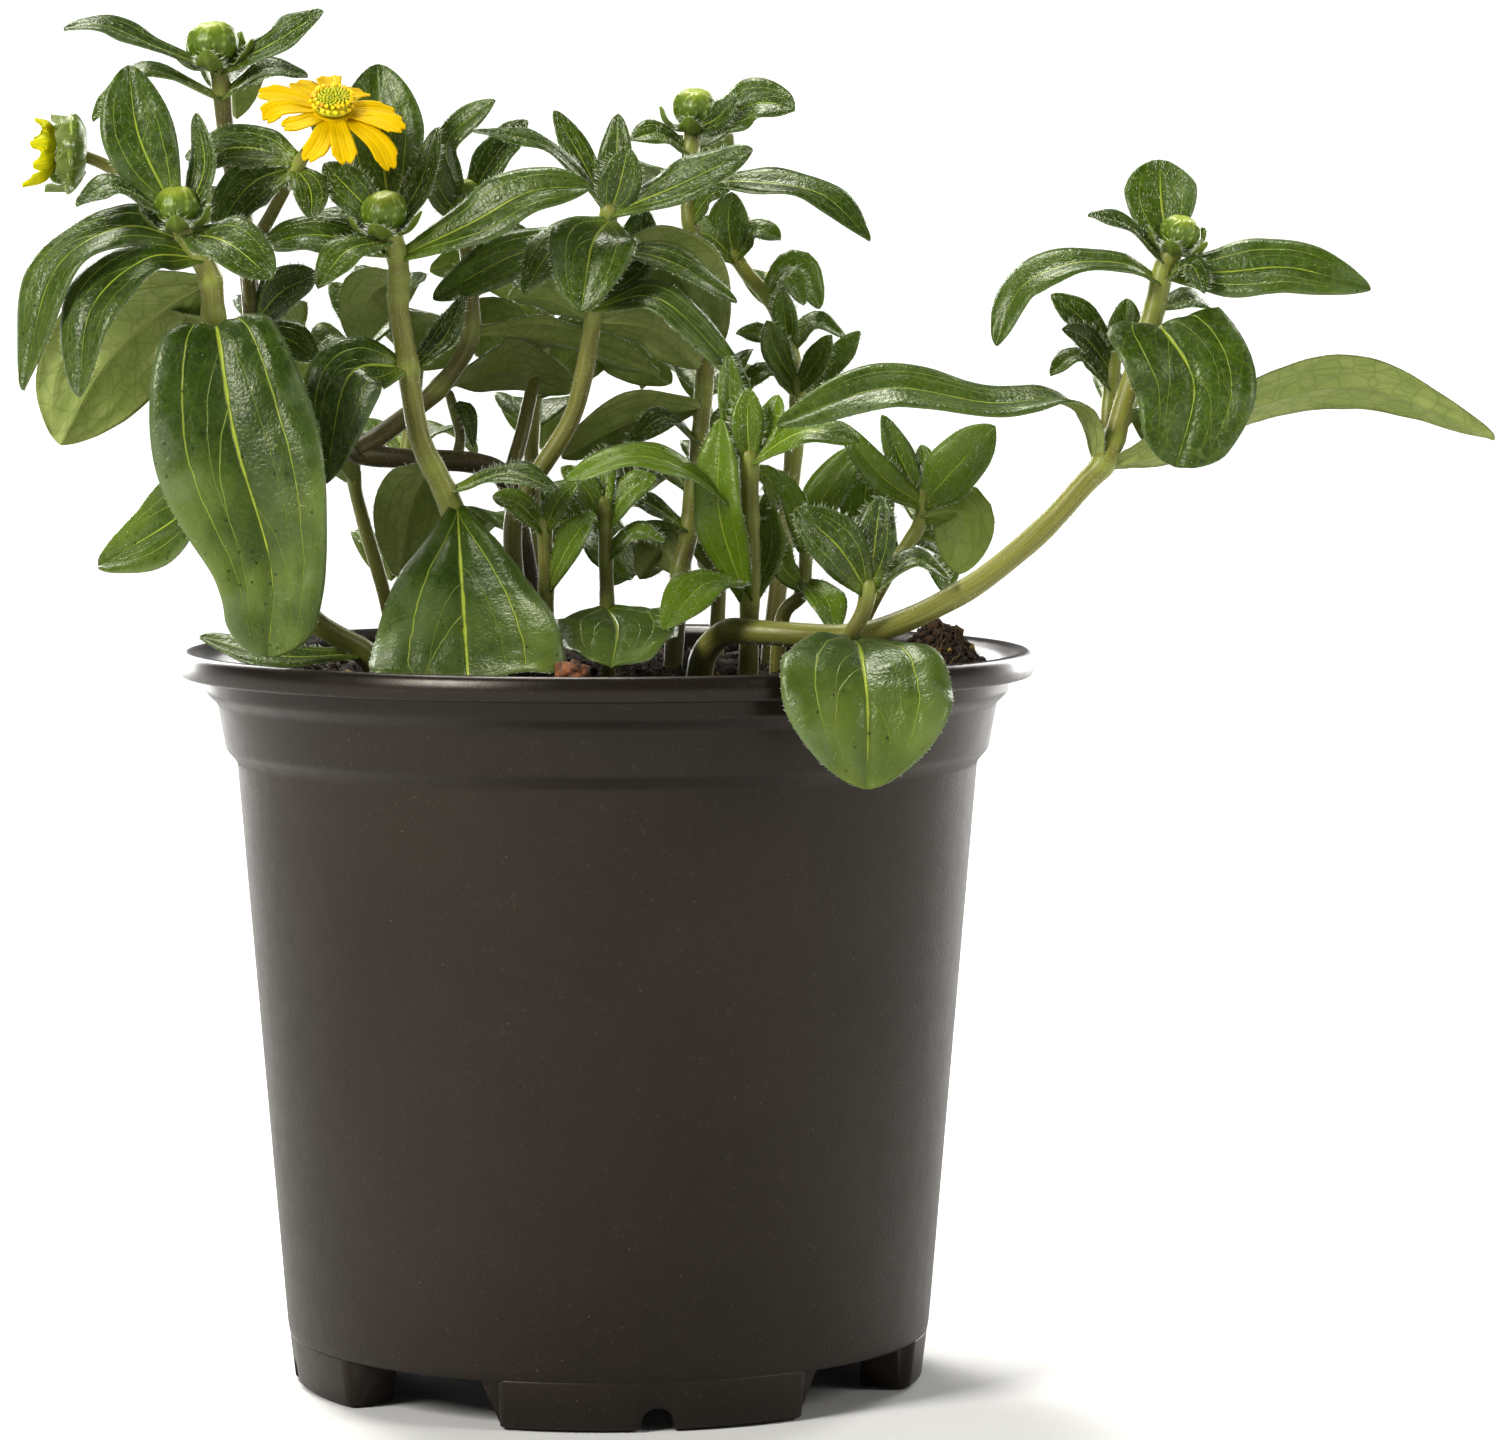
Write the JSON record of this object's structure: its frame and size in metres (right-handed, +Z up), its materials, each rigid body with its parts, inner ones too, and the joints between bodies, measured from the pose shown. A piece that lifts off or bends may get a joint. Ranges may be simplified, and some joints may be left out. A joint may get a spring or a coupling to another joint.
{
  "type": "potted creeping zinnia",
  "caption": "Black plastic nursery pot filled with peat, holding a bushy creeping plant with opposite pointed leaves, round green buds and small yellow daisy-like flowers.",
  "frame": {"origin": "on the ground, under the middle of the whole width and depth; the pot's own axis is 23.4 mm to the left of it, at x = -0.0234", "axes": "+Z up; +X to the right in front view, along the arching shoot; the front looks along -Y"},
  "size_m": [0.2189, 0.13, 0.2076],
  "materials": {
    "pot": "satin",
    "soil": "matte",
    "leaf": "satin",
    "petal": "satin",
    "disc": "matte"
  },
  "bodies": {
    "root": {"pot": "pot", "soil": "soil", "left_shoot": "leaf", "leaning_shoot": "leaf", "middle_left_shoot": "leaf", "middle_shoot": "leaf", "back_shoot": "leaf", "short_shoot_right": "leaf", "short_shoot_left": "leaf", "middle_right_shoot": "leaf", "small_right_shoot": "leaf", "right_shoot": "leaf", "arching_shoot": "leaf", "back_right_shoot": "leaf", "back_left_shoot": "leaf", "far_back_shoot": "leaf", "far_left_shoot": "leaf", "far_right_shoot": "leaf", "flower_rays": "petal", "flower_disc": "disc", "side_bloom_rays": "petal"}
  },
  "joints": []
}
